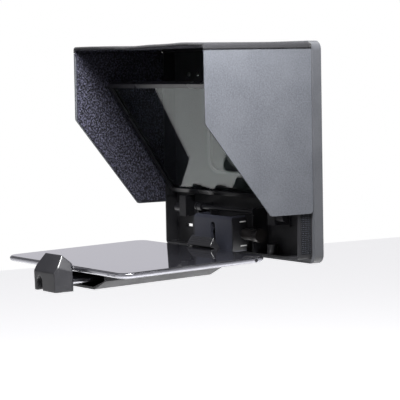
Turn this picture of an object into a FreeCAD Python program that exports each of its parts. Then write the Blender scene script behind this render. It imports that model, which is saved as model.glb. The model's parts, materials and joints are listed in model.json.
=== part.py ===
"""Folding tablet teleprompter that hangs on a camera lens.

A shallow box frame carries a tilting beam splitter, a three-sided fabric hood and a hinged tray.
The tray holds a tablet face up between two claws.  A threaded ring on the back screws on the lens.

Lengths are millimetres.  The model is built with X to the right as the presenter's hand sees the
lens, Y towards the camera and Z up, from the middle of the box's lower front edge.  `save` then
moves every piece so that the origin is the centre of the lens ring's rear face.
"""

import math
import os

import FreeCAD
import Part

Vector = FreeCAD.Vector

# ---------------------------------------------------------------- driving dimensions
# box frame
box_width = 248.6
box_height = 215.0
box_depth = 17.2
box_wall = 2.0
box_corner = 4.0
panel_front = 14.2
panel_thickness = 3.0
panel_clearance = 0.1
groove_inset = 24.0
groove_width = 7.0
groove_bottom = 31.0
groove_top = 50.0
groove_depth = 1.5
cable_slot_inset = 17.6
cable_slot_width = 13.0
cable_slot_bottom = 19.4
cable_slot_height = 3.3

# rear rim
rim_proud = 5.0
rim_depth = 10.6
rim_corner = 9.0
rim_lip = 3.0

# lens window and lens ring
axis_height = 122.4
window_width = 106.0
window_height = 76.0
window_corner = 15.0
bezel_width = 3.5
bezel_thickness = 1.4
plate_size = 112.0
plate_thickness = 3.0
plate_corner = 10.0
ring_flange_radius = 46.0
ring_flange_depth = 5.0
ring_thread_radius = 38.5
ring_thread_length = 5.0
ring_bore_radius = 36.0

# beam splitter
mirror_side_gap = 4.3
mirror_length = 145.0
mirror_bar = 5.0
mirror_corner = 3.5
mirror_frame_thickness = 5.4
mirror_hinge_y = 5.4
mirror_hinge_z = 62.0
mirror_tilt = 34.0
mirror_below_hinge = 3.0
glass_thickness = 2.0
glass_in_groove = 2.5
groove_clearance = 0.15
hinge_pin_radius = 1.6
running_clearance = 0.05
pin_end_gap = 0.5
pin_to_glass = 0.35
bearing_gap = 1.2
bearing_front = 0.6
bearing_height = 16.0
bearing_back = 9.0

# hood
hood_reach = 111.4
hood_board = 1.6
hood_lining = 0.7
lining_inset = 1.5
hood_top_board = 2.2
hem_height = 3.2
side_drop = 72.0
side_back_width = 35.0
side_bottom = 46.3
side_corner = 4.0
fold_gap = 0.4
tape_thickness = 0.5
tape_width = 12.0
tape_inset = 1.6
tape_gap = 0.15
tape_margin = 6.0

# tray hinge
pivot_y = -7.0
pivot_z = 21.5
shaft_radius = 3.0
bracket_half_width = 38.0
bracket_bulge = 3.5
bracket_wall = 3.0
bracket_front = -20.0
bracket_rear = -1.5
bracket_bottom = 3.0
bracket_top = 40.0
bracket_round = 4.0
slot_width = 8.0
slot_bottom = 8.0
slot_top = 33.0
mark_length = 8.0
mark_height = 1.2
mark_thickness = 0.4
mark_offset = 12.5
cheek_gap = 0.5
cheek_thickness = 3.5
cheek_front = 4.0
cheek_arm_half_height = 5.0
cheek_foot_depth = 2.5
cheek_foot = 8.0
cheek_rise = 2.0
cheek_screw_inset = 7.0
knob_gap = 0.2
knob_radius = 6.0
knob_length = 27.0
knob_flange_radius = 7.2
knob_flange_length = 4.0
knob_ridges = 20
ridge_radius = 0.6
ridge_length = 9.0

# cross rod above the tray hinge
rod_radius = 2.2
rod_y = -3.5
rod_above_bracket = 5.0
rod_cap_radius = 4.0
rod_cap_length = 2.0
rod_drum_radius = 4.2
rod_drum_length = 7.0
yoke_thickness = 2.5
yoke_front = -5.0
yoke_above_rod = 3.5
yoke_knob_room = 1.5

# side brackets and posts
side_bracket_x = 77.0
side_bracket_width = 12.5
side_bracket_thickness = 2.5
side_bracket_front = -4.0
side_bracket_bottom = 33.0
side_bracket_top = 55.0
roller_radius = 4.6
roller_length = 12.0
roller_y = 1.5
roller_z = 41.5
post_x = 71.0
post_y = 5.6
post_radius = 5.2
post_top = 12.2

# tray
tray_droop = 1.8
tablet_width = 240.0
tablet_depth = 169.5
tablet_thickness = 6.1
tablet_corner = 13.0
claw_to_bracket = 3.2
tablet_bottom = 1.4
screen_thickness = 0.6
screen_border = 1.6
jack_radius = 1.9
jack_depth = 12.0
jack_inset = 15.0
button_proud = 0.3
button_half_height = 0.6
buttons_along_front = ((28.0, 2.0), (19.0, 4.0))
rest_gap = 0.2
pad_thickness = 1.2
pad_radius = 5.0
housing_half_top = 54.0
housing_half_bottom = 31.0
housing_height = 17.6
housing_side_height = 7.6
housing_wall = 2.4
housing_front_gap = 19.0
housing_rear_gap = 11.5
rest_pad_inset = 10.0
neck_half_width = 20.0
neck_height = 11.0
neck_rear = -9.0
guide_rod_radius = 2.5
guide_rod_spacing = 28.0
guide_rod_drop = 9.5
guide_rod_reach = 126.0
guide_rod_in_claw = 12.0
bulkhead_gap = 84.0
bulkhead_side_gap = 5.0
bulkhead_thickness = 12.0
claw_width = 48.0
claw_front_width = 42.0
claw_rise = 11.4
front_crest_width = 33.0
front_crest_depth = 8.0
rear_crest_width = 42.0
rear_crest_depth = 1.0
# Each lip's reach over the tablet, rise of its underside towards the tip and thickness there.
front_lip = (1.8, 0.6, 1.2)
rear_lip = (4.5, 1.5, 3.2)
claw_shoulder_drop = 5.5
claw_drop = 19.4
front_claw_depth = 20.0
rear_claw_depth = 11.0
claw_gap = 0.3
arch_width = 11.0
arch_depth = 7.0
arch_top = -3.0

# fasteners
screw_head_radius = 2.2
screw_head_height = 1.2
screw_edge = 1.5
panel_screw_insets = (29.3, 46.3)
panel_screw_drop = 27.5

# ---------------------------------------------------------------- derived places
half_width = box_width / 2
panel_rear = panel_front + panel_thickness
rim_rear = box_depth + rim_depth
plate_rear = panel_rear + plate_thickness
flange_rear = plate_rear + ring_flange_depth
ring_rear = flange_rear + ring_thread_length
inner_half_width = half_width - box_wall
mirror_width = 2 * (inner_half_width - mirror_side_gap)
window_bottom = axis_height - window_height / 2
window_top = axis_height + window_height / 2
tape_face = half_width + tape_thickness
tape_back = box_depth - tape_inset
tape_front = tape_back - tape_width
lining_face = tape_face + tape_gap
board_face = lining_face + hood_lining
hood_face = board_face + hood_board
hood_underside = box_height + tape_thickness + tape_gap
hood_front = -hood_reach
hood_rear = box_depth - fold_gap
fold_height = hood_underside - hem_height
cheek_inner = bracket_half_width + cheek_gap
cheek_outer = cheek_inner + cheek_thickness
cheek_top = bracket_top + cheek_rise
shaft_end = cheek_outer + knob_length / 2
yoke_inner = cheek_outer + cheek_foot
yoke_outer = yoke_inner + yoke_thickness
rod_z = bracket_top + rod_above_bracket
tablet_rear = bracket_front - claw_to_bracket - rear_claw_depth - claw_gap
tablet_front = tablet_rear - tablet_depth
bulkhead_front = tablet_front + bulkhead_gap
bulkhead_rear = bulkhead_front + bulkhead_thickness
hook_bottom = tablet_bottom + tablet_thickness + rest_gap
tray_top = tablet_bottom - rest_gap - pad_thickness
housing_front = tablet_front + housing_front_gap
housing_rear = tablet_rear - housing_rear_gap
housing_bottom = tray_top - housing_height
guide_rod_z = tray_top - guide_rod_drop
claw_bottom = tablet_bottom - claw_drop
claw_crest = tablet_bottom + tablet_thickness + claw_rise


# ---------------------------------------------------------------- shape helpers
def block(x0, x1, y0, y1, z0, z1):
    return Part.makeBox(x1 - x0, y1 - y0, z1 - z0, Vector(x0, y0, z0))


def rod_x(x0, x1, y, z, radius):
    return Part.makeCylinder(radius, x1 - x0, Vector(x0, y, z), Vector(1, 0, 0))


def rod_y_way(x, y0, y1, z, radius):
    return Part.makeCylinder(radius, y1 - y0, Vector(x, y0, z), Vector(0, 1, 0))


def rod_up(x, y, z0, z1, radius):
    return Part.makeCylinder(radius, z1 - z0, Vector(x, y, z0), Vector(0, 0, 1))


def prism(points, travel):
    """Solid made by moving a closed outline along a vector."""
    corners = [Vector(*point) for point in points]
    return Part.Face(Part.makePolygon(corners + corners[:1])).extrude(Vector(*travel))


def outline_x(points, x0, x1):
    """Solid with an outline of (y, z) points, from x0 to x1."""
    return prism([(x0, y, z) for y, z in points], (x1 - x0, 0, 0))


def outline_y(points, y0, y1):
    """Solid with an outline of (x, z) points, from y0 to y1."""
    return prism([(x, y0, z) for x, z in points], (0, y1 - y0, 0))


def edges_along(shape, direction):
    """Straight edges that run along a direction."""
    found = []
    for edge in shape.Edges:
        if isinstance(edge.Curve, Part.Line) and abs(abs(edge.Curve.Direction.dot(direction)) - 1) < 1e-6:
            found.append(edge)
    return found


def rounded_y(half_x, y0, y1, z0, z1, radius):
    """Block with its four edges along Y rounded."""
    body = block(-half_x, half_x, y0, y1, z0, z1)
    return body.makeFillet(radius, edges_along(body, Vector(0, 1, 0)))


def both_sides(shape):
    """A piece and its mirror image on the other side of the middle plane."""
    return {"right": shape, "left": shape.mirror(Vector(0, 0, 0), Vector(1, 0, 0))}


def tilted(shape, degrees, y, z):
    """Copy turned about a line along X through (y, z); positive lowers the front."""
    turned = shape.copy()
    turned.rotate(Vector(0, y, z), Vector(1, 0, 0), degrees)
    return turned


def on_tray(shape):
    return tilted(shape, tray_droop, pivot_y, pivot_z)


def group(shapes):
    return Part.makeCompound(shapes)


# ---------------------------------------------------------------- box, rim and lens ring
def front_box():
    outer = rounded_y(half_width, 0, box_depth, 0, box_height, box_corner)
    inner = rounded_y(
        inner_half_width, -1, box_depth + 1, box_wall, box_height - box_wall, box_corner - box_wall
    )
    return outer.cut(inner)


def rear_rim():
    """Wider frame behind the box; its lip stops the back panel."""
    outer = rounded_y(
        half_width + rim_proud, box_depth, rim_rear, -rim_proud, box_height + rim_proud, rim_corner
    )
    hole_wall = box_wall + rim_lip
    inner = rounded_y(
        half_width - hole_wall, box_depth - 1, rim_rear + 1, hole_wall, box_height - hole_wall, box_corner
    )
    return outer.cut(inner)


def window(y0, y1, margin):
    """Rounded hole of the lens window, widened by a margin."""
    return rounded_y(
        window_width / 2 + margin, y0, y1, window_bottom - margin, window_top + margin, window_corner + margin
    )


def back_panel():
    panel = rounded_y(
        inner_half_width - panel_clearance,
        panel_front,
        panel_rear,
        box_wall + panel_clearance,
        box_height - box_wall - panel_clearance,
        box_corner - box_wall,
    )
    panel = panel.cut(window(panel_front - 1, panel_rear + 1, 0))
    front = panel_front - 1
    end = inner_half_width - groove_inset
    groove = block(end - groove_width, end, front, panel_front + groove_depth, groove_bottom, groove_top)
    for cutter in both_sides(groove).values():
        panel = panel.cut(cutter)
    start = cable_slot_inset - inner_half_width
    stop = start + cable_slot_width
    cable_slot_top = cable_slot_bottom + cable_slot_height
    cable_slot = block(start, stop, front, panel_rear + 1, cable_slot_bottom, cable_slot_top)
    panel = panel.cut(cable_slot)
    return panel


def window_bezel():
    return window(panel_front - bezel_thickness, panel_front, bezel_width).cut(
        window(panel_front - bezel_thickness - 1, panel_front + 1, 0)
    )


def ring_plate():
    plate = rounded_y(
        plate_size / 2 + bezel_width,
        panel_rear,
        plate_rear,
        axis_height - plate_size / 2,
        axis_height + plate_size / 2,
        plate_corner,
    )
    return plate.cut(rod_y_way(0, panel_rear - 1, plate_rear + 1, axis_height, ring_bore_radius))


def lens_ring():
    flange = rod_y_way(0, plate_rear, flange_rear, axis_height, ring_flange_radius)
    thread = rod_y_way(0, flange_rear, ring_rear, axis_height, ring_thread_radius)
    bore = rod_y_way(0, plate_rear - 1, ring_rear + 1, axis_height, ring_bore_radius)
    return flange.fuse(thread).removeSplitter().cut(bore)


def ring_screws():
    reach = ring_flange_radius + screw_head_radius + screw_edge
    heads = []
    for step in range(4):
        angle = math.radians(45 + 90 * step)
        x = reach * math.cos(angle)
        z = axis_height + reach * math.sin(angle)
        heads.append(rod_y_way(x, plate_rear, plate_rear + screw_head_height, z, screw_head_radius))
    return group(heads)


def panel_screws():
    heads = []
    z = box_height - panel_screw_drop
    for inset in panel_screw_insets:
        x = inner_half_width - inset
        head = rod_y_way(x, panel_front - screw_head_height, panel_front, z, screw_head_radius)
        heads += both_sides(head).values()
    return group(heads)


def side_tape():
    return block(half_width, tape_face, tape_front, tape_back, tape_margin, box_height - tape_margin)


def top_tape():
    reach = half_width - 2 * tape_margin
    return block(-reach, reach, tape_front, tape_back, box_height, box_height + tape_thickness)


# ---------------------------------------------------------------- beam splitter, built upright
mirror_bottom = mirror_hinge_z - mirror_below_hinge
mirror_top = mirror_bottom + mirror_length
mirror_front = mirror_hinge_y - mirror_frame_thickness / 2
mirror_back = mirror_hinge_y + mirror_frame_thickness / 2
groove_front = mirror_hinge_y - glass_thickness / 2 - groove_clearance
groove_back = mirror_hinge_y + glass_thickness / 2 + groove_clearance


def as_opened(shape):
    return tilted(shape, mirror_tilt, mirror_hinge_y, mirror_hinge_z)


def glass_space(clearance, y0, y1):
    reach = mirror_bar - glass_in_groove - clearance
    half = mirror_width / 2 - reach
    return block(-half, half, y0, y1, mirror_bottom + reach, mirror_top - reach)


def on_hinge_line(x0, x1, radius):
    return rod_x(x0, x1, mirror_hinge_y, mirror_hinge_z, radius)


def pin_start():
    """Inner end of a hinge pin, just outside the edge of the glass."""
    return mirror_width / 2 - mirror_bar + glass_in_groove + pin_to_glass


def mirror_side_bar():
    inside = mirror_width / 2 - mirror_bar
    outside = mirror_width / 2
    bar = block(inside, outside, mirror_front, mirror_back, mirror_bottom, mirror_top)
    corner = [
        edge
        for edge in edges_along(bar, Vector(0, 1, 0))
        if edge.CenterOfMass.x > outside - 0.01 and edge.CenterOfMass.z > mirror_top - 0.01
    ]
    bar = bar.makeFillet(mirror_corner, corner)
    pin_hole = on_hinge_line(pin_start(), outside + 1, hinge_pin_radius)
    return bar.cut(glass_space(groove_clearance, groove_front, groove_back)).cut(pin_hole)


def mirror_cross_bar(z0, z1):
    half = mirror_width / 2 - mirror_bar
    bar = block(-half, half, mirror_front, mirror_back, z0, z1)
    return bar.cut(glass_space(groove_clearance, groove_front, groove_back))


def mirror_glass():
    glass_front = mirror_hinge_y - glass_thickness / 2
    return glass_space(0, glass_front, glass_front + glass_thickness)


def mirror_pin():
    return on_hinge_line(pin_start(), inner_half_width - pin_end_gap, hinge_pin_radius)


def mirror_bearing():
    body = block(
        mirror_width / 2 + bearing_gap,
        inner_half_width,
        bearing_front,
        mirror_hinge_y + bearing_back / 2,
        mirror_hinge_z - bearing_height / 2,
        mirror_hinge_z + bearing_height / 2,
    )
    bore = on_hinge_line(mirror_width / 2, inner_half_width + 1, hinge_pin_radius + running_clearance)
    return body.cut(bore)


# ---------------------------------------------------------------- hood
def side_outline(inset):
    """Side panel's edge, (y, z) from the fold down and round the sloping front."""
    return [
        (hood_front + inset, fold_height - fold_gap),
        (hood_front + inset, fold_height - side_drop),
        (-side_back_width, side_bottom + inset),
        (hood_rear - inset, side_bottom + inset),
        (hood_rear - inset, fold_height - fold_gap),
    ]


def side_panel(inset, x0, x1):
    """Panel with its two lower front corners and its lower rear corner rounded."""
    panel = outline_x(side_outline(inset), x0, x1)
    low = [
        edge
        for edge in edges_along(panel, Vector(1, 0, 0))
        if edge.CenterOfMass.z < fold_height - side_drop + 1
    ]
    return panel.makeFillet(side_corner, low)


def hood_side_board():
    return side_panel(0, board_face, hood_face)


def hood_side_lining():
    return side_panel(lining_inset, lining_face, board_face)


def hood_top_panel():
    lower = hood_underside + hood_lining
    return block(-hood_face, hood_face, hood_front, hood_rear, lower, lower + hood_top_board)


def hood_top_lining():
    front = hood_front + lining_inset
    rear = hood_rear - lining_inset
    return block(-lining_face, lining_face, front, rear, hood_underside, hood_underside + hood_lining)


def hood_hem():
    return block(lining_face, hood_face, hood_front, hood_rear, fold_height, hood_underside + hood_lining)


# ---------------------------------------------------------------- tray hinge
def bracket_outline(y0, y1):
    """Block whose side faces bulge outward in an arc at the pivot's height."""
    edge = bracket_half_width - bracket_bulge
    middle = (bracket_bottom + bracket_top) / 2
    corners = {}
    for side in (-1, 1):
        corners[side] = (
            Vector(side * edge, y0, bracket_bottom),
            Vector(side * bracket_half_width, y0, middle),
            Vector(side * edge, y0, bracket_top),
        )
    left = Part.Arc(*corners[-1]).toShape()
    right = Part.Arc(*corners[1]).toShape()
    top = Part.makeLine(corners[-1][2], corners[1][2])
    bottom = Part.makeLine(corners[-1][0], corners[1][0])
    return Part.Face(Part.Wire([bottom, right, top, left])).extrude(Vector(0, y1 - y0, 0))


def upright_slot(x, y0, y1):
    """Cutter for a slot with a round top."""
    half = slot_width / 2
    straight = block(x - half, x + half, y0, y1, slot_bottom, slot_top - half)
    return straight.fuse(rod_y_way(x, y0, y1, slot_top - half, half))


def tray_bracket():
    half = bracket_half_width
    body = bracket_outline(bracket_front, bracket_rear)
    top_front = [
        edge
        for edge in edges_along(body, Vector(1, 0, 0))
        if abs(edge.CenterOfMass.y - bracket_front) < 0.01 and abs(edge.CenterOfMass.z - bracket_top) < 0.01
    ]
    body = body.makeFillet(bracket_round, top_front)
    inside = half - bracket_bulge - bracket_wall
    plate_back = bracket_front + bracket_wall
    floor = bracket_bottom + bracket_wall
    hollow = block(-inside, inside, plate_back, bracket_rear + 1, floor, bracket_top + 1)
    slot = upright_slot(0, bracket_front - 1, plate_back + 1)
    bore = rod_x(-half - 1, half + 1, pivot_y, pivot_z, shaft_radius + running_clearance)
    body = body.cut(hollow).cut(slot).cut(bore)
    foot = block(-neck_half_width, neck_half_width, bracket_front, neck_rear, tray_top, bracket_bottom)
    return body.fuse(foot).removeSplitter()


def index_marks():
    """Two raised index lines on each side face, above and below the pivot."""
    marks = []
    body = bracket_outline(bracket_front, bracket_rear)
    face = bracket_half_width - bracket_bulge / 2
    for z in (pivot_z - mark_offset, pivot_z + mark_offset):
        mark = block(
            face - mark_thickness,
            face + mark_thickness,
            bracket_rear - 1 - mark_length,
            bracket_rear - 1,
            z - mark_height / 2,
            z + mark_height / 2,
        )
        marks += both_sides(mark.cut(body)).values()
    return group(marks)


def hinge_cheek():
    """Upright plate beside the bracket with a round-nosed arm that carries the shaft."""
    half = cheek_arm_half_height
    foot_front = panel_front - cheek_foot_depth
    plate = block(cheek_inner, cheek_outer, cheek_front, panel_front, bracket_bottom, cheek_top)
    arm = block(cheek_inner, cheek_outer, pivot_y, cheek_front, pivot_z - half, pivot_z + half)
    nose = rod_x(cheek_inner, cheek_outer, pivot_y, pivot_z, half)
    foot = block(cheek_outer, cheek_outer + cheek_foot, foot_front, panel_front, bracket_bottom, cheek_top)
    cheek = plate.fuse([arm, nose, foot]).removeSplitter()
    return cheek.cut(rod_x(cheek_inner - 1, cheek_outer + 1, pivot_y, pivot_z, shaft_radius))


def cheek_screws():
    heads = []
    back = panel_front - cheek_foot_depth
    for z in (bracket_bottom + cheek_screw_inset, cheek_top - cheek_screw_inset):
        head = rod_y_way(cheek_outer + cheek_foot / 2, back - screw_head_height, back, z, screw_head_radius)
        heads += both_sides(head).values()
    return group(heads)


def pivot_shaft():
    return rod_x(-cheek_outer, shaft_end, pivot_y, pivot_z, shaft_radius)


def clamp_knob():
    """Slim barrel knob with a ridged grip and a flange at its outer end."""
    start = cheek_outer + knob_gap
    end = start + knob_length
    barrel = rod_x(start, end, pivot_y, pivot_z, knob_radius)
    flange = rod_x(end - knob_flange_length, end, pivot_y, pivot_z, knob_flange_radius)
    grip_end = end - knob_flange_length
    ridges = []
    for step in range(knob_ridges):
        angle = 2 * math.pi * step / knob_ridges
        y = pivot_y + knob_radius * math.cos(angle)
        z = pivot_z + knob_radius * math.sin(angle)
        ridges.append(rod_x(grip_end - ridge_length, grip_end, y, z, ridge_radius))
    knob = barrel.fuse([flange] + ridges).removeSplitter()
    bore_end = shaft_end + knob_gap
    return knob.cut(rod_x(start - 1, bore_end, pivot_y, pivot_z, shaft_radius + running_clearance))


def yoke_plate():
    """Side plate of the frame round the tray hinge, notched where the knob passes."""
    room = knob_flange_radius + yoke_knob_room
    plate = block(yoke_inner, yoke_outer, yoke_front, panel_front, bracket_bottom, rod_z + yoke_above_rod)
    notch = block(
        yoke_inner - 1, yoke_outer + 1, yoke_front - 1, pivot_y + room, pivot_z - room, pivot_z + room
    )
    return plate.cut(notch).cut(rod_x(yoke_inner - 1, yoke_outer + 1, rod_y, rod_z, rod_radius))


def cross_rod():
    return rod_x(-yoke_outer, yoke_outer, rod_y, rod_z, rod_radius)


def rod_cap():
    return rod_x(yoke_outer, yoke_outer + rod_cap_length, rod_y, rod_z, rod_cap_radius)


def rod_drum():
    """Collar on the left end of the rod."""
    drum = rod_x(-yoke_inner, rod_drum_length - yoke_inner, rod_y, rod_z, rod_drum_radius)
    return drum.cut(rod_x(-yoke_outer, yoke_outer, rod_y, rod_z, rod_radius))


def side_bracket():
    """L-section bracket: a plate facing forward and a web back to the panel."""
    low = side_bracket_bottom
    high = side_bracket_top
    right = side_bracket_x + side_bracket_width
    face_back = side_bracket_front + side_bracket_thickness
    face = block(side_bracket_x, right, side_bracket_front, face_back, low, high)
    web = block(right - side_bracket_thickness, right, face_back, panel_front, low, high)
    return face.fuse(web).removeSplitter()


def side_roller():
    start = side_bracket_x + side_bracket_width
    return rod_x(start, start + roller_length, roller_y, roller_z, roller_radius)


def corner_post():
    return rod_up(post_x, post_y, box_wall, post_top, post_radius)


# ---------------------------------------------------------------- tray, built level
def housing_outline(inset):
    slope = (housing_half_top - housing_half_bottom) / (housing_height - housing_side_height)
    low_half = housing_half_bottom - inset / 2 * slope / 2
    side_z = tray_top - housing_side_height
    return [
        (-housing_half_top + inset, tray_top - inset),
        (housing_half_top - inset, tray_top - inset),
        (housing_half_top - inset, side_z),
        (low_half, housing_bottom + inset),
        (-low_half, housing_bottom + inset),
        (-housing_half_top + inset, side_z),
    ]


def tray_housing():
    """Trapezoid box under the tablet, open at the front, where the claw's rods go in."""
    outer = outline_y(housing_outline(0), housing_front, housing_rear)
    inner = outline_y(housing_outline(housing_wall), housing_front - 1, housing_rear - housing_wall)
    return outer.cut(inner)


def guide_holes(y0, y1, clearance):
    return [
        rod_y_way(x, y0, y1, guide_rod_z, guide_rod_radius + clearance)
        for x in (-guide_rod_spacing / 2, guide_rod_spacing / 2)
    ]


def rod_bulkhead():
    body = block(
        -housing_half_bottom + bulkhead_side_gap,
        housing_half_bottom - bulkhead_side_gap,
        bulkhead_front,
        bulkhead_rear,
        housing_bottom + housing_wall,
        tray_top - housing_wall,
    )
    for hole in guide_holes(bulkhead_front - 1, bulkhead_rear + 1, running_clearance):
        body = body.cut(hole)
    return body


def tray_neck():
    return block(-neck_half_width, neck_half_width, housing_rear, neck_rear, tray_top - neck_height, tray_top)


def claw(depth, bottom, crest_depth, crest_width, lip):
    """Claw with its grip at y = 0, its body towards -Y and its lip over the tablet towards +Y."""
    reach, rise, thickness = lip
    tablet_top = tablet_bottom + tablet_thickness
    profile = [
        (-claw_gap, bottom),
        (-claw_gap, hook_bottom),
        (reach, hook_bottom + rise),
        (reach - 0.3 * thickness, hook_bottom + rise + thickness),
        (-crest_depth, claw_crest),
        (-depth, tablet_top - claw_shoulder_drop),
        (-depth, bottom),
    ]
    body = outline_x(profile, -claw_width / 2, claw_width / 2)
    plan = prism(
        [
            (-claw_width / 2, reach + 1, bottom - 1),
            (-claw_width / 2, -claw_gap - 3, bottom - 1),
            (-claw_front_width / 2, -depth - 1, bottom - 1),
            (claw_front_width / 2, -depth - 1, bottom - 1),
            (claw_width / 2, -claw_gap - 3, bottom - 1),
            (claw_width / 2, reach + 1, bottom - 1),
        ],
        (0, 0, claw_crest - bottom + 2),
    )
    face = outline_y(
        [
            (-claw_width / 2, bottom),
            (claw_width / 2, bottom),
            (claw_width / 2, tablet_top - claw_shoulder_drop),
            (crest_width / 2, claw_crest + 0.1),
            (-crest_width / 2, claw_crest + 0.1),
            (-claw_width / 2, tablet_top - claw_shoulder_drop),
        ],
        -depth - 1,
        reach + 1,
    )
    return body.common(plan).common(face)


def front_claw_part(low, high):
    """Slice of the front claw between two heights."""
    body = claw(front_claw_depth, claw_bottom, front_crest_depth, front_crest_width, front_lip)
    span = 2 * claw_width
    body = body.common(block(-span, span, -span, span, low, high))
    body.translate(Vector(0, tablet_front, 0))
    return body


def front_claw():
    body = front_claw_part(claw_bottom, hook_bottom)
    x = -claw_front_width / 4
    half = arch_width / 2
    arch_start = tablet_front - front_claw_depth - 1
    arch_end = tablet_front - front_claw_depth + arch_depth
    arch = block(x - half, x + half, arch_start, arch_end, claw_bottom - 1, arch_top - half)
    crown = rod_y_way(x, arch_start, arch_end, arch_top - half, half)
    body = body.cut(arch.fuse(crown))
    for hole in guide_holes(tablet_front - guide_rod_in_claw, tablet_front + 1, 0):
        body = body.cut(hole)
    return body


def front_claw_hook():
    """Top of the front claw, whose lip holds the tablet down."""
    return front_claw_part(hook_bottom, claw_crest)


def rear_claw():
    body = claw(rear_claw_depth, tray_top, rear_crest_depth, rear_crest_width, rear_lip)
    body.rotate(Vector(0, 0, 0), Vector(0, 0, 1), 180)
    body.translate(Vector(0, tablet_rear, 0))
    return body


def guide_rods():
    return group(guide_holes(tablet_front - guide_rod_in_claw, tablet_front + guide_rod_reach, 0))


def rest_pads():
    pads = []
    half = housing_half_top - rest_pad_inset
    for x in (-half, half):
        for y in (housing_front + rest_pad_inset, housing_rear - rest_pad_inset):
            pads.append(rod_up(x, y, tray_top, tray_top + pad_thickness, pad_radius))
    return group(pads)


def tablet_body():
    body = block(
        -tablet_width / 2,
        tablet_width / 2,
        tablet_front,
        tablet_rear,
        tablet_bottom,
        tablet_bottom + tablet_thickness - screen_thickness,
    )
    body = body.makeFillet(tablet_corner, edges_along(body, Vector(0, 0, 1)))
    side = tablet_width / 2
    jack_z = tablet_bottom + (tablet_thickness - screen_thickness) / 2
    return body.cut(rod_x(side - jack_depth, side + 1, tablet_rear - jack_inset, jack_z, jack_radius))


def tablet_screen():
    screen = block(
        -tablet_width / 2 + screen_border,
        tablet_width / 2 - screen_border,
        tablet_front + screen_border,
        tablet_rear - screen_border,
        tablet_bottom + tablet_thickness - screen_thickness,
        tablet_bottom + tablet_thickness,
    )
    return screen.makeFillet(tablet_corner - screen_border, edges_along(screen, Vector(0, 0, 1)))


def tablet_buttons():
    z = tablet_bottom + (tablet_thickness - screen_thickness) / 2
    low = z - button_half_height
    high = z + button_half_height
    buttons = []
    for inset, half_length in buttons_along_front:
        x = tablet_width / 2 - inset
        button = block(x - half_length, x + half_length, tablet_front - button_proud, tablet_front, low, high)
        buttons.append(button)
    return group(buttons)


# ---------------------------------------------------------------- export
os.makedirs("parts", exist_ok=True)


def save(name, shape):
    placed = shape.copy()
    placed.translate(Vector(0, -ring_rear, -axis_height))
    placed.exportStep("parts/" + name + ".step")


def save_pair(name, shape, placing=None):
    for side, piece in both_sides(shape).items():
        save(name + "_" + side, placing(piece) if placing else piece)


save("front_box", front_box())
save("rear_rim", rear_rim())
save("back_panel", back_panel())
save("window_bezel", window_bezel())
save("ring_plate", ring_plate())
save("lens_ring", lens_ring())
save("ring_screws", ring_screws())
save("panel_screws", panel_screws())
save("top_tape", top_tape())
save_pair("side_tape", side_tape())

save_pair("mirror_bar", mirror_side_bar(), as_opened)
save("mirror_bar_bottom", as_opened(mirror_cross_bar(mirror_bottom, mirror_bottom + mirror_bar)))
save("mirror_bar_top", as_opened(mirror_cross_bar(mirror_top - mirror_bar, mirror_top)))
save("mirror_glass", as_opened(mirror_glass()))
save_pair("mirror_pin", mirror_pin())
save_pair("mirror_bearing", mirror_bearing())

save("hood_top_panel", hood_top_panel())
save("hood_top_lining", hood_top_lining())
save_pair("hood_hem", hood_hem())
save_pair("hood_side_board", hood_side_board())
save_pair("hood_side_lining", hood_side_lining())

save_pair("hinge_cheek", hinge_cheek())
save("cheek_screws", cheek_screws())
save("pivot_shaft", pivot_shaft())
save("clamp_knob", clamp_knob())
save("cross_rod", cross_rod())
save_pair("rod_cap", rod_cap())
save("rod_drum", rod_drum())
save_pair("yoke_plate", yoke_plate())
save_pair("side_bracket", side_bracket())
save_pair("side_roller", side_roller())
save_pair("corner_post", corner_post())

save("tray_bracket", on_tray(tray_bracket()))
save("index_marks", on_tray(index_marks()))
save("tray_neck", on_tray(tray_neck()))
save("tray_housing", on_tray(tray_housing()))
save("rod_bulkhead", on_tray(rod_bulkhead()))
save("rest_pads", on_tray(rest_pads()))
save("rear_claw", on_tray(rear_claw()))
save("front_claw", on_tray(front_claw()))
save("front_claw_hook", on_tray(front_claw_hook()))
save("guide_rods", on_tray(guide_rods()))
save("tablet_body", on_tray(tablet_body()))
save("tablet_screen", on_tray(tablet_screen()))
save("tablet_buttons", on_tray(tablet_buttons()))
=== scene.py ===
"""Looks of the folding tablet teleprompter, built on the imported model. Lengths are metres."""

import json
import math

import bmesh
import bpy
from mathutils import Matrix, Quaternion, Vector, noise


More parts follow.
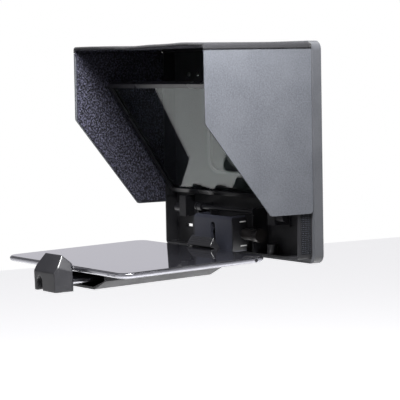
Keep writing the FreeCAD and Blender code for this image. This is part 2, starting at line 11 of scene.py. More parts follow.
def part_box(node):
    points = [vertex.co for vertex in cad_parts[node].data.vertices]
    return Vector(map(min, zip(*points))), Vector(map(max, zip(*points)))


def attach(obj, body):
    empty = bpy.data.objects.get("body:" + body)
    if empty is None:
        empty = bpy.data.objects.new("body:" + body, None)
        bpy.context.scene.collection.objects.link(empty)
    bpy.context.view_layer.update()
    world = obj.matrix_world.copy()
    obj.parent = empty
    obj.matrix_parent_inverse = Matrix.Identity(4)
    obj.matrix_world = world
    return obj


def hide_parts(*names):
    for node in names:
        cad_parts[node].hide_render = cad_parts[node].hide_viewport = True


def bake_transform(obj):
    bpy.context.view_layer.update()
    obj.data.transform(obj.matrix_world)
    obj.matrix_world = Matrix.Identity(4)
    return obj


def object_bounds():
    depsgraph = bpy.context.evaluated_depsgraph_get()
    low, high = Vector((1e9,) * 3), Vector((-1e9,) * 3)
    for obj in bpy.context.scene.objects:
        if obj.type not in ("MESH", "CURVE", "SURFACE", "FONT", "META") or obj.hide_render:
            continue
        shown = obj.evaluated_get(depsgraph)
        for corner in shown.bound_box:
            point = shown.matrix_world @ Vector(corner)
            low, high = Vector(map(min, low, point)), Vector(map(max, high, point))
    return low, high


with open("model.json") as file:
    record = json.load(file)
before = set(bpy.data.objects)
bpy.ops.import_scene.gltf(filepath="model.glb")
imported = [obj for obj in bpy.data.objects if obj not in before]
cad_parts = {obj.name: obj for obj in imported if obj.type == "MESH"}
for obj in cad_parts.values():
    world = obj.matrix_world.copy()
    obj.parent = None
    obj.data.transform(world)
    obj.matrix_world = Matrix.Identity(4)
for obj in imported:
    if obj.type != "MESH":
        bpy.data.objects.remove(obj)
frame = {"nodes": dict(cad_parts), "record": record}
cad_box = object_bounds()
nodes = frame["nodes"]
MM = 0.001

bpy.context.scene.view_settings.view_transform = "Standard"


# ---------------------------------------------------------------- camera, light and floor
view_azimuth = 56.7
view_elevation = 4.15
view_roll = -1.03
view_distance = 1.913
view_lens = 168.08
view_target = Vector((0.0370, -0.0902, -0.0628))
floor_drop = 0.34
# Upper front corner of the right hood side, which the key light is aimed at.
key_target = Vector((0.127, -0.141, 0.09))
# Darker sides of the room: azimuth, where the dimming starts and ends (cosines) and its level.
dim_sides = ((view_azimuth, -0.3, 0.9, 0.42), (-view_azimuth, 0.5, 0.92, 0.25))


def direction(azimuth, elevation):
    """Unit vector from the object towards a viewer; azimuth 0 is in front, 90 is on the +X side."""
    a = math.radians(azimuth)
    e = math.radians(elevation)
    return Vector((math.sin(a) * math.cos(e), -math.cos(a) * math.cos(e), math.sin(e)))


def make_camera():
    data = bpy.data.cameras.new("camera")
    data.lens = view_lens
    data.sensor_width = 36.0
    data.clip_end = 50.0
    camera = bpy.data.objects.new("camera", data)
    back = direction(view_azimuth, view_elevation)
    camera.location = view_target + back * view_distance
    camera.rotation_mode = "QUATERNION"
    roll = Quaternion((0, 0, 1), math.radians(view_roll))
    camera.rotation_quaternion = (-back).to_track_quat("-Z", "Y") @ roll
    bpy.context.scene.collection.objects.link(camera)
    bpy.context.scene.camera = camera


def area_light(name, azimuth, elevation, distance, size, power, target=view_target):
    data = bpy.data.lights.new(name, "AREA")
    data.size = size
    data.energy = power
    light = bpy.data.objects.new(name, data)
    away = direction(azimuth, elevation)
    light.location = target + away * distance
    light.rotation_mode = "QUATERNION"
    light.rotation_quaternion = away.to_track_quat("Z", "Y")
    bpy.context.scene.collection.objects.link(light)


def make_world():
    """White studio cove: bright to the eye, dimmer as a light so that black parts stay black."""
    world = bpy.data.worlds.new("studio")
    bpy.context.scene.world = world
    world.use_nodes = True
    tree = world.node_tree
    background = tree.nodes["Background"]
    coordinates = tree.nodes.new("ShaderNodeTexCoord")
    split = tree.nodes.new("ShaderNodeSeparateXYZ")
    tree.links.new(coordinates.outputs["Generated"], split.inputs[0])
    ramp = tree.nodes.new("ShaderNodeValToRGB")
    lift = tree.nodes.new("ShaderNodeMath")
    lift.operation = "MULTIPLY_ADD"
    lift.inputs[1].default_value = 0.5
    lift.inputs[2].default_value = 0.5
    tree.links.new(split.outputs["Z"], lift.inputs[0])
    tree.links.new(lift.outputs[0], ramp.inputs[0])
    stops = ((0.0, 0.25), (0.40, 0.40), (0.50, 0.72), (0.58, 0.72), (0.72, 0.22), (1.0, 0.30))
    elements = ramp.color_ramp.elements
    while len(elements) < len(stops):
        elements.new(0.5)
    for element, (place, level) in zip(elements, stops):
        element.position = place
        element.color = (level, 0.985 * level, 1.07 * level, 1)
    path = tree.nodes.new("ShaderNodeLightPath")
    mix = tree.nodes.new("ShaderNodeMix")
    mix.data_type = "RGBA"
    tree.links.new(path.outputs["Is Camera Ray"], mix.inputs["Factor"])
    tree.links.new(ramp.outputs["Color"], mix.inputs["A"])
    mix.inputs["B"].default_value = (1, 1, 1, 1)
    tree.links.new(mix.outputs["Result"], background.inputs["Color"])
    strength = None
    for azimuth, start, end, level in dim_sides:
        towards = tree.nodes.new("ShaderNodeVectorMath")
        towards.operation = "DOT_PRODUCT"
        towards.inputs[1].default_value = direction(azimuth, 0)
        dim = tree.nodes.new("ShaderNodeMapRange")
        dim.inputs["From Min"].default_value = start
        dim.inputs["From Max"].default_value = end
        dim.inputs["To Min"].default_value = 1.0
        dim.inputs["To Max"].default_value = level
        tree.links.new(coordinates.outputs["Generated"], towards.inputs[0])
        tree.links.new(towards.outputs["Value"], dim.inputs["Value"])
        product = tree.nodes.new("ShaderNodeMath")
        product.operation = "MULTIPLY"
        product.inputs[0].default_value = 1.0
        if strength:
            tree.links.new(strength, product.inputs[0])
        tree.links.new(dim.outputs["Result"], product.inputs[1])
        strength = product.outputs[0]
    seen = tree.nodes.new("ShaderNodeMath")
    seen.operation = "MAXIMUM"
    tree.links.new(strength, seen.inputs[0])
    tree.links.new(path.outputs["Is Camera Ray"], seen.inputs[1])
    tree.links.new(seen.outputs[0], background.inputs["Strength"])


def make_floor(material):
    size = 6.0
    bpy.ops.mesh.primitive_plane_add(size=size, location=(0, 0, cad_box[0].z - floor_drop))
    floor = bpy.context.object
    floor.name = "floor"
    floor.data.materials.append(material)


# ---------------------------------------------------------------- material building
class Graph:
    """A material's node tree with short calls for the few nodes that the finishes share."""

    def __init__(self, name):
        self.material = bpy.data.materials.new(name)
        self.material.use_nodes = True
        self.tree = self.material.node_tree
        self.shader = self.tree.nodes["Principled BSDF"]
        self.place = self.add("ShaderNodeTexCoord").outputs["Object"]

    def add(self, kind, values=None, **settings):
        node = self.tree.nodes.new(kind)
        for key, value in settings.items():
            setattr(node, key, value)
        for socket, value in (values or {}).items():
            self.put(value, node.inputs[socket])
        return node

    def put(self, value, socket):
        if isinstance(value, bpy.types.NodeSocket):
            self.tree.links.new(value, socket)
        else:
            socket.default_value = value

    def set(self, **values):
        names = {
            "colour": "Base Color",
            "metal": "Metallic",
            "rough": "Roughness",
            "normal": "Normal",
            "specular": "Specular IOR Level",
            "coat": "Coat Weight",
            "coat_rough": "Coat Roughness",
            "sheen": "Sheen Weight",
            "ior": "IOR",
            "transmission": "Transmission Weight",
            "glow": "Emission Color",
            "glow_strength": "Emission Strength",
        }
        for key, value in values.items():
            self.put(value, self.shader.inputs[names[key]])

    def noise(self, scale, detail=2.0, stretch=(1, 1, 1)):
        place = self.add("ShaderNodeMapping", {"Vector": self.place, "Scale": stretch}).outputs[0]
        values = {"Vector": place, "Scale": scale, "Detail": detail}
        return self.add("ShaderNodeTexNoise", values).outputs["Fac"]

    def cells(self, scale):
        values = {"Vector": self.place, "Scale": scale}
        return self.add("ShaderNodeTexVoronoi", values).outputs["Distance"]

    def math(self, operation, a, b=0.0):
        return self.add("ShaderNodeMath", {0: a, 1: b}, operation=operation).outputs[0]

    def spread(self, factor, low, high, to_low, to_high):
        values = {"Value": factor, "From Min": low, "From Max": high, "To Min": to_low, "To Max": to_high}
        return self.add("ShaderNodeMapRange", values).outputs[0]

    def blend(self, factor, a, b):
        values = {"Factor": factor, "A": a, "B": b}
        return self.add("ShaderNodeMix", values, data_type="RGBA").outputs["Result"]

    def bump(self, height, strength, depth):
        values = {"Height": height, "Strength": strength, "Distance": depth}
        return self.add("ShaderNodeBump", values).outputs[0]


def shade(colour, factor):
    return (*[min(1.0, channel * factor) for channel in colour], 1.0)


def moulded(name, colour, rough=0.5, grain=0.25, grain_size=0.9, bump=0.25, specular=0.5):
    """Fine-grained moulded plastic or powder coat: a mottle, a bump and a slow change of gloss."""
    g = Graph(name)
    fine = g.noise(1 / (grain_size * MM), 3.0)
    slow = g.noise(28.0, 2.0)
    tone = g.blend(g.spread(fine, 0.3, 0.7, 0, 1), shade(colour, 1 - grain), shade(colour, 1 + grain))
    worn = g.blend(g.spread(slow, 0.4, 0.75, 0, 0.35), tone, shade(colour, 1.35))
    g.set(colour=worn, rough=g.spread(slow, 0.3, 0.7, rough - 0.06, rough + 0.08), specular=specular)
    g.set(normal=g.bump(fine, bump, 0.0002))
    return g.material


def slate_with_black_flanks(name, colour, flank, start):
    """Painted front plate on a black moulding: the paint stops where the flanks begin, |X| = start."""
    material = moulded(name, colour, rough=0.40, specular=0.35)
    tree = material.node_tree
    shader = tree.nodes["Principled BSDF"]
    painted = shader.inputs["Base Color"].links[0].from_socket
    place = tree.nodes.new("ShaderNodeTexCoord")
    split = tree.nodes.new("ShaderNodeSeparateXYZ")
    width = tree.nodes.new("ShaderNodeMath")
    width.operation = "ABSOLUTE"
    edge = tree.nodes.new("ShaderNodeMapRange")
    edge.inputs["From Min"].default_value = start
    edge.inputs["From Max"].default_value = start + 0.0004
    mix = tree.nodes.new("ShaderNodeMix")
    mix.data_type = "RGBA"
    mix.inputs["B"].default_value = (*flank, 1)
    tree.links.new(place.outputs["Object"], split.inputs[0])
    tree.links.new(split.outputs["X"], width.inputs[0])
    tree.links.new(width.outputs[0], edge.inputs["Value"])
    tree.links.new(edge.outputs[0], mix.inputs["Factor"])
    tree.links.new(painted, mix.inputs["A"])
    tree.links.new(mix.outputs["Result"], shader.inputs["Base Color"])
    return material


def metal(name, colour, rough=0.3, brush=(1, 1, 1), metallic=1.0, streaks=1.0):
    """Turned or brushed metal: fine streaks in gloss and height, with faint smudges."""
    g = Graph(name)
    streak = g.noise(900.0, 4.0, brush)
    smudge = g.noise(45.0, 3.0)
    dark = shade(colour, 1 - 0.18 * streaks)
    tone = g.blend(g.spread(streak, 0.3, 0.7, 0, 1), dark, shade(colour, 1 + 0.12 * streaks))
    lined = g.spread(streak, 0.3, 0.7, rough - 0.05 * streaks, rough + 0.08 * streaks)
    gloss = g.math("ADD", lined, g.spread(smudge, 0.4, 0.8, 0, 0.08))
    g.set(colour=tone, metal=metallic, rough=gloss, normal=g.bump(streak, 0.12 * streaks, 0.0001))
    return g.material


def loop_cloth(name, colour, loop=1.1, contrast=0.8, height=0.0006):
    """Brushed loop fabric: tangled loops a millimetre across, with painted highlights on their tips."""
    g = Graph(name)
    loops = g.cells(1 / (loop * MM))
    tangle = g.noise(0.9 / (loop * MM), 4.0)
    slow = g.noise(16.0, 3.0)
    mixed = g.math("MULTIPLY", g.spread(loops, 0.1, 0.9, 1, 0.15), g.spread(tangle, 0.42, 0.64, 0.05, 1.4))
    # Painted highlight: the loop tips are coloured up to 1 + 3.6 × contrast brighter than the cloth.
    tone = g.blend(mixed, shade(colour, 1 - contrast), shade(colour, 1 + 3.6 * contrast))
    aged = g.blend(g.spread(slow, 0.4, 0.7, 0, 0.3), tone, shade(colour, 1.5))
    g.set(colour=aged, rough=0.95, specular=0.08, sheen=0.08, normal=g.bump(mixed, 0.7, height))
    return g.material


def woven_cloth(name, colour, thread=0.7):
    """Plain weave: crossed threads over and under, with a nap."""
    g = Graph(name)
    turns = 2 * math.pi / (2 * thread * MM)
    split = g.add("ShaderNodeSeparateXYZ", {0: g.place}).outputs
    across = g.math("SINE", g.math("MULTIPLY", split["X"], turns))
    along = g.math("SINE", g.math("MULTIPLY", g.math("ADD", split["Y"], split["Z"]), turns))
    weave = g.spread(g.math("MULTIPLY", across, along), -1, 1, 0, 1)
    nap = g.noise(700.0, 4.0)
    mixed = g.math("MULTIPLY", weave, g.spread(nap, 0.3, 0.7, 0.5, 1.2))
    tone = g.blend(mixed, shade(colour, 0.5), shade(colour, 1.9))
    g.set(colour=tone, rough=0.85, specular=0.12, sheen=0.05, normal=g.bump(mixed, 0.5, 0.0003))
    return g.material


def hook_tape(name, colour, pitch=4.0):
    """Hook tape: staggered rows of moulded hooks on a woven strip."""
    g = Graph(name)
    split = g.add("ShaderNodeSeparateXYZ", {0: g.place}).outputs
    turns = 2 * math.pi / (pitch * MM)
    along = g.math("ADD", split["Y"], split["X"])
    diagonal_up = g.math("SINE", g.math("MULTIPLY", g.math("ADD", along, split["Z"]), turns))
    diagonal_down = g.math("SINE", g.math("MULTIPLY", g.math("SUBTRACT", along, split["Z"]), turns))
    hooks = g.spread(g.math("MULTIPLY", diagonal_up, diagonal_down), 0.1, 0.8, 0, 1)
    nap = g.noise(900.0, 3.0)
    mixed = g.math("MULTIPLY", hooks, g.spread(nap, 0.3, 0.7, 0.6, 1.2))
    tone = g.blend(mixed, shade(colour, 0.3), shade(colour, 7.0))
    g.set(colour=tone, rough=0.75, specular=0.12, normal=g.bump(mixed, 0.8, 0.0008))
    return g.material


def splitter_glass(name):
    """Coated plate glass with a faint green cast and light dust."""
    g = Graph(name)
    dust = g.noise(30.0, 2.0)
    tone = g.blend(g.spread(dust, 0.4, 0.8, 0, 1), (0.78, 0.88, 0.84, 1), (0.74, 0.83, 0.79, 1))
    g.set(colour=tone, rough=0.0, ior=1.20, transmission=1.0)
    return g.material


def screen_glass(name):
    """Dark cover glass of a display that is switched off, with faint finger marks."""
    g = Graph(name)
    marks = g.noise(38.0, 4.0)
    tone = g.blend(g.spread(marks, 0.5, 0.8, 0, 1), (0.008, 0.008, 0.010, 1), (0.012, 0.012, 0.0145, 1))
    g.set(colour=tone, specular=0.7, coat=0.6, coat_rough=0.03)
    g.set(rough=g.spread(marks, 0.4, 0.8, 0.03, 0.06))
    return g.material


def pale_floor(name):
    """Nearly white sweep that glows a little, as a brightly lit one does."""
    g = Graph(name)
    slow = g.noise(1.5, 3.0)
    g.set(colour=g.blend(slow, (0.90, 0.90, 0.91, 1), (0.94, 0.94, 0.94, 1)), rough=0.8, specular=0.1)
    g.set(glow=(1, 1, 1, 1), glow_strength=0.62)
    return g.material


finishes = {
    "frame_shell": moulded("frame_shell_finish", (0.024, 0.025, 0.028), rough=0.40, grain=0.2),
    "inner_black": moulded("inner_black_finish", (0.006, 0.006, 0.007), rough=0.5, specular=0.22),
    "bezel_grey": moulded("bezel_grey_finish", (0.03, 0.03, 0.033), rough=0.45),
    "ring_metal": metal("ring_metal_finish", (0.05, 0.05, 0.055), rough=0.4, metallic=0.7),
    "screw_steel": metal("screw_steel_finish", (0.45, 0.45, 0.47), rough=0.3),
    "shaft_steel": metal("shaft_steel_finish", (0.30, 0.30, 0.32), rough=0.3, brush=(0.1, 1, 1)),
    "hook_tape": hook_tape("hook_tape_finish", (0.0028, 0.0031, 0.0042)),
    "hinge_black": moulded("hinge_black_finish", (0.005, 0.005, 0.006), rough=0.33, specular=0.3),
    "mirror_frame": moulded("mirror_frame_finish", (0.004, 0.004, 0.005), rough=0.30, specular=0.3),
    "beam_splitter": splitter_glass("beam_splitter_finish"),
    "hood_fabric": woven_cloth("hood_fabric_finish", (0.006, 0.006, 0.007)),
    # The lining's contrast also sets the strength of the painted highlights on its loop tips.
    "hood_lining": loop_cloth(
        "hood_lining_finish", (0.0085, 0.0085, 0.0135), loop=1.8, contrast=0.95, height=0.001
    ),
    "hood_shell": moulded(
        "hood_shell_finish", (0.032, 0.034, 0.039), rough=0.38, grain=0.30, grain_size=1.5
    ),
    "knob_black": moulded("knob_black_finish", (0.006, 0.005, 0.0048), rough=0.34, specular=0.3),
    "bracket_slate": slate_with_black_flanks(
        "bracket_slate_finish", (0.017, 0.018, 0.025), flank=(0.006, 0.006, 0.007), start=0.0348
    ),
    "index_white": moulded("index_white_finish", (0.55, 0.55, 0.55), rough=0.5, grain=0.05),
    "tray_plastic": moulded("tray_plastic_finish", (0.008, 0.008, 0.009), rough=0.40, specular=0.35),
    "claw_plastic": moulded("claw_plastic_finish", (0.010, 0.010, 0.0115), rough=0.34, specular=0.42),
    "pad_rubber": moulded("pad_rubber_finish", (0.02, 0.02, 0.02), rough=0.85, specular=0.25),
    "tablet_metal": metal("tablet_metal_finish", (0.28, 0.28, 0.305), rough=0.17, streaks=0.15),
    "tablet_glass": screen_glass("tablet_glass_finish"),
}
polished_edge = metal("polished_edge_finish", (0.80, 0.80, 0.84), rough=0.12, streaks=0.1)
thread_finish = woven_cloth("thread_finish", (0.03, 0.03, 0.035), thread=0.3)


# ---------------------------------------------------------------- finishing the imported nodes
edge_widths = {
    "front_box": 0.5,
    "rear_rim": 1.2,
    "window_bezel": 0.3,
    "ring_plate": 0.4,
    "mirror_bar_right": 0.6,
    "mirror_bar_left": 0.6,
    "mirror_bar_top": 0.6,
    "mirror_bar_bottom": 0.6,
    "hood_side_board_right": 0.35,
    "hood_side_board_left": 0.35,
    "tray_bracket": 0.5,
    "tray_housing": 0.6,
    "tray_neck": 0.6,
    "rod_bulkhead": 0.5,
    "hinge_cheek_right": 0.4,
    "hinge_cheek_left": 0.4,
    "yoke_plate_right": 0.4,
    "yoke_plate_left": 0.4,
    "side_bracket_right": 0.4,
    "side_bracket_left": 0.4,
    "corner_post_right": 0.5,
    "corner_post_left": 0.5,
    "clamp_knob": 0.5,
    "rod_drum": 0.4,
    "tablet_screen": 0.2,
}


def soften_edges(piece, width):
    bevel = piece.modifiers.new("edge", "BEVEL")
    bevel.width = width * MM
    bevel.segments = 3 if width < 1 else 5
    bevel.limit_method = "ANGLE"
    bevel.angle_limit = math.radians(35)
    flatten = piece.modifiers.new("flat_faces", "WEIGHTED_NORMAL")
    flatten.keep_sharp = True


def dress_nodes():
    slots = {entry["node"]: entry["material_slot"] for entry in frame["record"]["subparts"]}
    for name, node in nodes.items():
        node.data.materials.clear()
        node.data.materials.append(finishes[slots[name]])
    for name, width in edge_widths.items():
        soften_edges(nodes[name], width)


# ---------------------------------------------------------------- making pieces
def new_piece(name, form, body, slot, *replaced):
    """Object from a bmesh in millimetres, riding on a body and standing for the replaced nodes."""
    bmesh.ops.recalc_face_normals(form, faces=form.faces)
    bmesh.ops.scale(form, vec=(MM, MM, MM), verts=form.verts)
    mesh = bpy.data.meshes.new(name)
    form.to_mesh(mesh)
    form.free()
    mesh.materials.append(finishes[slot])
    piece = bpy.data.objects.new(name, mesh)
    bpy.context.scene.collection.objects.link(piece)
    if body:
        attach(piece, body)
    if replaced:
        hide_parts(*replaced)
    return piece


def smooth(piece):
    for face in piece.data.polygons:
        face.use_smooth = True


def box_mm(name):
    low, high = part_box(name)
    return low / MM, high / MM


def sheet_form(rows, thickness):
    """Sheet through rows of points, given its thickness on the far side of its normals."""
    form = bmesh.new()
    grid = [[form.verts.new(point) for point in row] for row in rows]
    for first, second in zip(grid, grid[1:]):
        for a, b, c, d in zip(first, first[1:], second[1:], second):
            form.faces.new((a, b, c, d))
    form.normal_update()
    bmesh.ops.solidify(form, geom=form.faces[:], thickness=thickness)
    return form


def steps(start, stop, count):
    return [start + (stop - start) * i / count for i in range(count + 1)]


def ease(value, low, high):
    t = min(1.0, max(0.0, (value - low) / (high - low)))
    return t * t * (3 - 2 * t)


# ---------------------------------------------------------------- hood
hood_low, hood_high = box_mm("hood_top_panel")
hem_low = box_mm("hood_hem_right")[0].z
top_corner = 3.0
hem_roll = 1.0
hem_turn = 5.0
hood_corner = 4.0
side_shoulder_drop = 71.7
side_bottom_width = 50.3
canopy_thickness = 0.5
top_lining_thickness = 0.6
side_lining_thickness = 0.45
# The side lining is held from here to the rear, and hangs free in front of the second place.
lining_held_from = -32
lining_free_before = -60
hinge_thickness = 0.3
hinge_lap = 8.0
hinge_bend = 2.0
hinge_rear = -31.0
hinge_front_gap = 0.2


def slack(x, y):
    """How far the unstretched top cloth stands above its board, most at the open front edge."""
    across = x / hood_high.x
    forward = ease(-y, -hood_high.y, -hood_low.y)
    dip = -1.4 * math.exp(-(((across + 0.15) / 0.30) ** 2))
    rise = 0.9 * math.exp(-(((across - 0.72) / 0.22) ** 2))
    ripple = 0.35 * noise.noise(Vector((x * 0.025, y * 0.03, 4.0)))
    return (dip + rise + ripple) * forward * max(0.0, 1 - abs(across) ** 8)


def hood_section():
    """Outline of the canopy across the hood with its inward normals: up one hem, over, down the other."""
    side = hood_high.x
    top = hood_high.z
    section = [(-side, z, 1.0, 0.0) for z in steps(hem_low, top - top_corner, 2)[:-1]]
    for angle in steps(0, 90, 6):
        c = math.cos(math.radians(angle))
        n = math.sin(math.radians(angle))
        x = -side + top_corner - top_corner * c
        section.append((x, top - top_corner + top_corner * n, c, -n))
    one_side = len(section)
    section += [(x, top, 0.0, -1.0) for x in steps(-side + top_corner, side - top_corner, 60)[1:-1]]
    mirrored = [(-x, z, -inward_x, inward_z) for x, z, inward_x, inward_z in reversed(section[:one_side])]
    return section + mirrored


def make_canopy():
    front = hood_low.y
    lengths = [(front + hem_roll + hem_turn, 2 * hem_roll)]
    for angle in steps(180, 0, 8):
        a = math.radians(angle)
        lengths.append((front + hem_roll * (1 - math.sin(a)), hem_roll * (1 - math.cos(a))))
    lengths += [(y, 0.0) for y in steps(front + hem_roll, hood_high.y, 36)[1:]]
    rows = []
    for x, z, inward_x, inward_z in hood_section():
        row = []
        for y, depth in lengths:
            row.append((x + inward_x * depth, y, z + inward_z * depth + slack(x, y)))
        rows.append(row)
    form = sheet_form(rows, canopy_thickness)
    nodes_gone = ("hood_top_panel", "hood_hem_right", "hood_hem_left")
    canopy = new_piece("hood_canopy", form, "hood_top", "hood_fabric", *nodes_gone)
    smooth(canopy)
    around = 2 * (hood_high.x + hood_high.z - hem_low) * MM
    along = (hood_high.y - front + hem_turn + 2 * hem_roll) * MM
    return canopy, (around, along)


def make_top_lining():
    low, high = box_mm("hood_top_lining")
    rows = []
    for x in steps(low.x, high.x, 60):
        rows.append([(x, y, low.z + slack(x, y)) for y in steps(low.y, high.y, 30)])
    form = sheet_form(rows, top_lining_thickness)
    lining = new_piece("top_lining", form, "hood_top", "hood_lining", "hood_top_lining")
    smooth(lining)


def corner_inset(height, bottom, radius):
    """How far a rounded lower corner stands in from the edge at a height above the bottom."""
    rise = min(radius, max(0.0, height - bottom))
    return radius - math.sqrt(max(0.0, radius**2 - (radius - rise) ** 2))


def make_side_lining(side):
    name = "right" if side > 0 else "left"
    node = "hood_side_lining_" + name
    low, high = box_mm(node)
    face = low.x if side > 0 else high.x
    shoulder = high.z - side_shoulder_drop
    rear_start = high.y - side_bottom_width
    heights = steps(low.z, high.z, 80)
    rows = []
    for z in heights:
        slope = min(1.0, max(0.0, (shoulder - z) / (shoulder - low.z)))
        inset = corner_inset(z, low.z, hood_corner)
        front = low.y + slope * (rear_start - low.y) + inset
        rear = high.y - inset
        row = []
        for y in steps(front, rear, 60):
            free = 1 - ease(y, lining_free_before, lining_held_from)
            wave = 0.45 * noise.noise(Vector((y * 0.03, z * 0.03, 9.0 * side)))
            row.append((face - side * free * max(0.0, 0.25 + wave), y, z))
        rows.append(row)
    form = sheet_form(rows, side_lining_thickness * side)
    lining = new_piece("side_lining_" + name, form, "hood_" + name, "hood_lining", node)
    smooth(lining)


def make_hood_hinge(side):
    """Strip of the lining cloth from under the top lining down the side board, with a rounded bend at the
    fold.
    """
    name = "right" if side > 0 else "left"
    low, high = box_mm("hood_side_lining_" + name)
    face = (low.x if side > 0 else -high.x) - 0.25
    under = box_mm("hood_top_lining")[0].z - 0.1
    bottom = high.z - 2.7
    bend = hinge_bend
    front = hood_low.y + hinge_front_gap
    path = [(x, under) for x in steps(face - hinge_lap, face - bend, 4)]
    for angle in steps(90, 0, 6)[1:]:
        a = math.radians(angle)
        path.append((face - bend + bend * math.cos(a), under - bend + bend * math.sin(a)))
    path += [(face, z) for z in steps(under - bend, bottom, 6)[1:]]
    rows = []
    for x, z in path:
        rows.append([(side * x, y, z + slack(side * x, y)) for y in steps(front, hinge_rear, 44)])
    form = sheet_form(rows, hinge_thickness * side)
    hinge = new_piece("hood_hinge_" + name, form, None, "hood_lining")
    smooth(hinge)
    x = side * face * MM
    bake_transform(hinge)


def make_hem_stitches():
    """Row of stitches that holds the canopy's turned front edge."""
    form = bmesh.new()
    y = hood_low.y + hem_turn
    pitch = 3.2
    margin = 6
    count = int(2 * (hood_high.x - margin) / pitch)
    for i in range(count):
        x = -hood_high.x + margin + i * pitch
        centre = Vector((x, y, hood_high.z + 0.05 + slack(x, y)))
        stitch = bmesh.ops.create_uvsphere(form, u_segments=8, v_segments=5, radius=0.28)["verts"]
        bmesh.ops.scale(form, vec=(4.2, 1.0, 0.7), verts=stitch)
        bmesh.ops.translate(form, vec=centre, verts=stitch)
    stitches = new_piece("hem_stitches", form, "hood_top", "hood_fabric")
    stitches.data.materials[0] = thread_finish
    smooth(stitches)
    return stitches


def make_hood():
    canopy, flat = make_canopy()
    stitches = make_hem_stitches()
    make_top_lining()
    for side in (1, -1):
        make_side_lining(side)
        make_hood_hinge(side)


# ---------------------------------------------------------------- screws and lens ring
def islands(node):
    """Boxes, in millimetres, of the separate solids in a node."""
    form = bmesh.new()
    form.from_mesh(nodes[node].data)
    waiting = set(form.verts)
    found = []
    while waiting:
        group = {waiting.pop()}
        edge = list(group)
        while edge:
            vertex = edge.pop()
            for link in vertex.link_edges:
                other = link.other_vert(vertex)
                if other in waiting:
                    waiting.discard(other)
                    group.add(other)
                    edge.append(other)
        points = [vertex.co / MM for vertex in group]
        low = Vector([min(point[i] for point in points) for i in range(3)])
        high = Vector([max(point[i] for point in points) for i in range(3)])
        found.append((low, high))
    form.free()
    return sorted(found, key=lambda box: tuple(box[0]))


def ring_loops(form, loops, closed=True):
    """Faces between successive loops of points, and across the first and last loop if closed."""
    rings = [[form.verts.new(point) for point in loop] for loop in loops]
    for first, second in zip(rings, rings[1:]):
        for i in range(len(first)):
            j = (i + 1) % len(first)
            form.faces.new((first[i], first[j], second[j], second[i]))
    if closed:
        form.faces.new(rings[0])
        form.faces.new(rings[-1])


def socket_screw(form, low, high, outward):
    """Domed cap screw along Y with a hexagonal recess."""
    centre = (low + high) / 2
    radius = (high.x - low.x) / 2
    height = high.y - low.y
    base = low.y if outward > 0 else high.y
    turns = [math.radians(15 * i) for i in range(24)]

    def loop(size, rise, hexagon=False):
        points = []
        for turn in turns:
            flat = math.cos((turn % math.radians(60)) - math.radians(30)) if hexagon else 1.0
            r = size / flat
            x = centre.x + r * math.cos(turn)
            z = centre.z + r * math.sin(turn)
            points.append((x, base + outward * rise, z))
        return points

    ring_loops(
        form,
        [
            loop(radius, 0),
            loop(radius, 0.60 * height),
            loop(0.93 * radius, 0.86 * height),
            loop(0.80 * radius, 0.98 * height),
            loop(0.46 * radius, height, True),
            loop(0.44 * radius, 0.35 * height, True),
        ],
    )


def make_screws():
    for node, outward in (("ring_screws", 1), ("panel_screws", -1), ("cheek_screws", -1)):
        form = bmesh.new()
        for low, high in islands(node):
            socket_screw(form, low, high, outward)
        screws = new_piece(node + "_heads", form, "box", "screw_steel", node)
        soften_edges(screws, 0.06)


def make_lens_ring():
    """Adapter ring with a knurled flange and a cut thread."""
    flange = 46.0
    thread = 38.5
    bore = 36.0
    pitch = 0.75
    depth = 0.45
    shoulder = -5.0
    back = box_mm("lens_ring")[0].y
    profile = [(bore, back), (flange - 1.0, back), (flange - 0.6, back + 0.4), (flange, back + 0.8)]
    profile += [(flange, shoulder - 0.8), (flange - 0.6, shoulder - 0.3), (flange - 1.0, shoulder)]
    profile.append((thread - depth, shoulder))
    y = shoulder + 0.3
    while y + pitch < -0.3:
        profile += [(thread - depth, y), (thread, y + pitch / 2)]
        y += pitch
    profile += [(thread - depth, -0.3), (thread - depth - 0.4, 0.0), (bore + 0.4, 0.0), (bore, -0.4)]
    segments = 240
    form = bmesh.new()
    loops = []
    for radius, y in profile:
        loop = []
        for i in range(segments):
            turn = 2 * math.pi * i / segments
            knurl = 0.35 * (i % 4 == 0) if radius == flange else 0.0
            r = radius - knurl
            loop.append((r * math.cos(turn), y, r * math.sin(turn)))
        loops.append(loop)
    ring_loops(form, loops + loops[:1], closed=False)
    bmesh.ops.remove_doubles(form, verts=form.verts, dist=0.0001)
    new_piece("threaded_ring", form, "box", "ring_metal", "lens_ring")


# ---------------------------------------------------------------- claws
def moulding(name, body, slot, first, *others):
    """One moulding with rounded edges from one or more nodes, and no seam where they meet."""
    piece = bpy.data.objects.new(name, nodes[first].data.copy())
    bpy.context.scene.collection.objects.link(piece)
    for other in others:
        union = piece.modifiers.new("union", "BOOLEAN")
        union.operation = "UNION"
        union.solver = "EXACT"
        union.object = nodes[other]
    even = piece.modifiers.new("even", "REMESH")
    even.mode = "VOXEL"
    even.voxel_size = 0.6 * MM
    soften = piece.modifiers.new("soften", "SMOOTH")
    soften.factor = 0.5
    soften.iterations = 14
    bpy.context.view_layer.update()
    graph = bpy.context.evaluated_depsgraph_get()
    whole = bpy.data.meshes.new_from_object(piece.evaluated_get(graph))
    piece.modifiers.clear()
    piece.data = whole
    whole.materials.clear()
    whole.materials.append(finishes[slot])
    smooth(piece)
    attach(piece, body)
    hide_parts(first, *others)


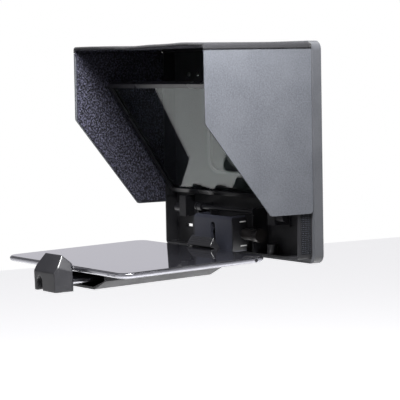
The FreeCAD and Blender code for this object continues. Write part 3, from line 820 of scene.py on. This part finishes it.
def make_claw_ribs():
    """Raised grip lines along the inner slope of the rear claw."""
    low, high = box_mm("rear_claw")
    half = 0.42 * (high.x - low.x)
    lip = Vector((0, low.y + 1.0, high.z - 6.5))
    crest = Vector((0, high.y - 10.3, high.z - 0.3))
    along = crest - lip
    radius = 0.45
    turn = Quaternion((0, 1, 0), math.radians(90)).to_matrix()
    form = bmesh.new()
    for share in (0.12, 0.42, 0.72):
        centre = lip + share * along
        length = 2 * half * (1 - 0.12 * share)
        rib = bmesh.ops.create_cone(
            form, cap_ends=True, segments=12, radius1=radius, radius2=radius, depth=length
        )["verts"]
        bmesh.ops.rotate(form, cent=(0, 0, 0), matrix=turn, verts=rib)
        bmesh.ops.translate(form, vec=centre, verts=rib)
    ribs = new_piece("claw_ribs", form, "tray", "claw_plastic")
    soften_edges(ribs, 0.15)


# ---------------------------------------------------------------- tablet
tray_droop = math.radians(1.8)
tablet_size = (240.0, 169.5)
tablet_corner = 13.0
tablet_half_thickness = 2.75
jack_from_rear_edge = 15.0
jack_above_middle = 0.4


def rounded_loop(width, depth, corner, inset, height):
    """Outline of a rounded rectangle, drawn in by inset, at a height."""
    radius = corner - inset
    points = []
    for quarter, (sx, sy) in enumerate(((1, 1), (-1, 1), (-1, -1), (1, -1))):
        for step in range(13):
            turn = math.radians(90 * quarter + 7.5 * step)
            x = sx * (width / 2 - corner) + radius * math.cos(turn)
            y = sy * (depth / 2 - corner) + radius * math.sin(turn)
            points.append((x, y, height))
    return points


def tablet_middle():
    low, high = box_mm("tablet_body")
    return (low + high) / 2


def on_tray(form):
    """Tilt a form made about its own centre to the tray's droop and move it to the tablet's middle."""
    turn = Quaternion((1, 0, 0), tray_droop).to_matrix()
    bmesh.ops.rotate(form, cent=(0, 0, 0), matrix=turn, verts=form.verts)
    bmesh.ops.translate(form, vec=tablet_middle(), verts=form.verts)


def make_tablet():
    """Slim body with a curved back edge, a flat side and a polished chamfer round the glass."""
    width, depth = tablet_size
    half = tablet_half_thickness
    # Each ring's inset from the outline and its height.
    outline = [(8.0, -half), (4.2, -half + 0.05), (2.2, -half + 0.45), (0.9, -half + 1.2)]
    outline += [(0.25, -half + 2.1), (0.0, -half + 3.0), (0.0, half - 0.9), (0.12, half - 0.55)]
    chamfer = [(0.12, half - 0.55), (0.95, half), (1.35, half + 0.02)]
    form = bmesh.new()
    ring_loops(form, [rounded_loop(width, depth, tablet_corner, *ring) for ring in outline], closed=False)
    back = rounded_loop(width, depth, tablet_corner, *outline[0])
    form.faces.new([form.verts.new(point) for point in back])
    rings = [rounded_loop(width, depth, tablet_corner, *ring) for ring in chamfer]
    ring_loops(form, rings, closed=False)
    deck = [form.verts.new(point) for point in rings[-1]]
    form.faces.new(deck)
    bmesh.ops.remove_doubles(form, verts=form.verts, dist=0.0005)
    on_tray(form)
    shell = new_piece("tablet_shell", form, "tablet", "tablet_metal", "tablet_body")
    shell.data.materials.append(polished_edge)
    normal_turn = Quaternion((1, 0, 0), -tray_droop)
    middle = tablet_middle()
    for face in shell.data.polygons:
        face.use_smooth = True
        local = normal_turn @ (Vector(face.center) / MM - middle)
        if half - 0.5 < local.z < half + 0.015 and abs(face.normal.z) < 0.99:
            face.material_index = 1
    shell.modifiers.new("flat_faces", "WEIGHTED_NORMAL").keep_sharp = True


def make_jack():
    """Lined socket on the tablet's short side."""
    width, depth = tablet_size
    y = depth / 2 - jack_from_rear_edge
    form = bmesh.new()
    turns = [math.radians(11.25 * i) for i in range(32)]
    profile = [(2.25, 0.0), (2.15, 0.22), (1.75, 0.22), (1.65, 0.02), (0.2, 0.02)]
    loops = []
    for radius, out in profile:
        x = width / 2 + out
        loop = [(x, y + radius * math.cos(t), jack_above_middle + radius * math.sin(t)) for t in turns]
        loops.append(loop)
    ring_loops(form, loops)
    on_tray(form)
    jack = new_piece("jack_socket", form, "tablet", "tablet_metal")
    jack.data.materials.append(finishes["inner_black"])
    for face in jack.data.polygons:
        inside = face.index >= 3 * len(turns)
        face.material_index = 1 if inside else 0


make_camera()
make_world()
area_light("key", 60, 50, 0.34, 0.22, 24, key_target)
area_light("front_fill", -15, 25, 1.8, 1.0, 6)
area_light("back_rim", 190, 45, 1.8, 0.8, 7)
make_floor(pale_floor("floor_finish"))
dress_nodes()
make_hood()
make_screws()
make_lens_ring()
moulding("claw_moulding", "claw", "claw_plastic", "front_claw", "front_claw_hook")
moulding("rear_claw_moulding", "tray", "claw_plastic", "rear_claw")
make_claw_ribs()
make_tablet()
make_jack()
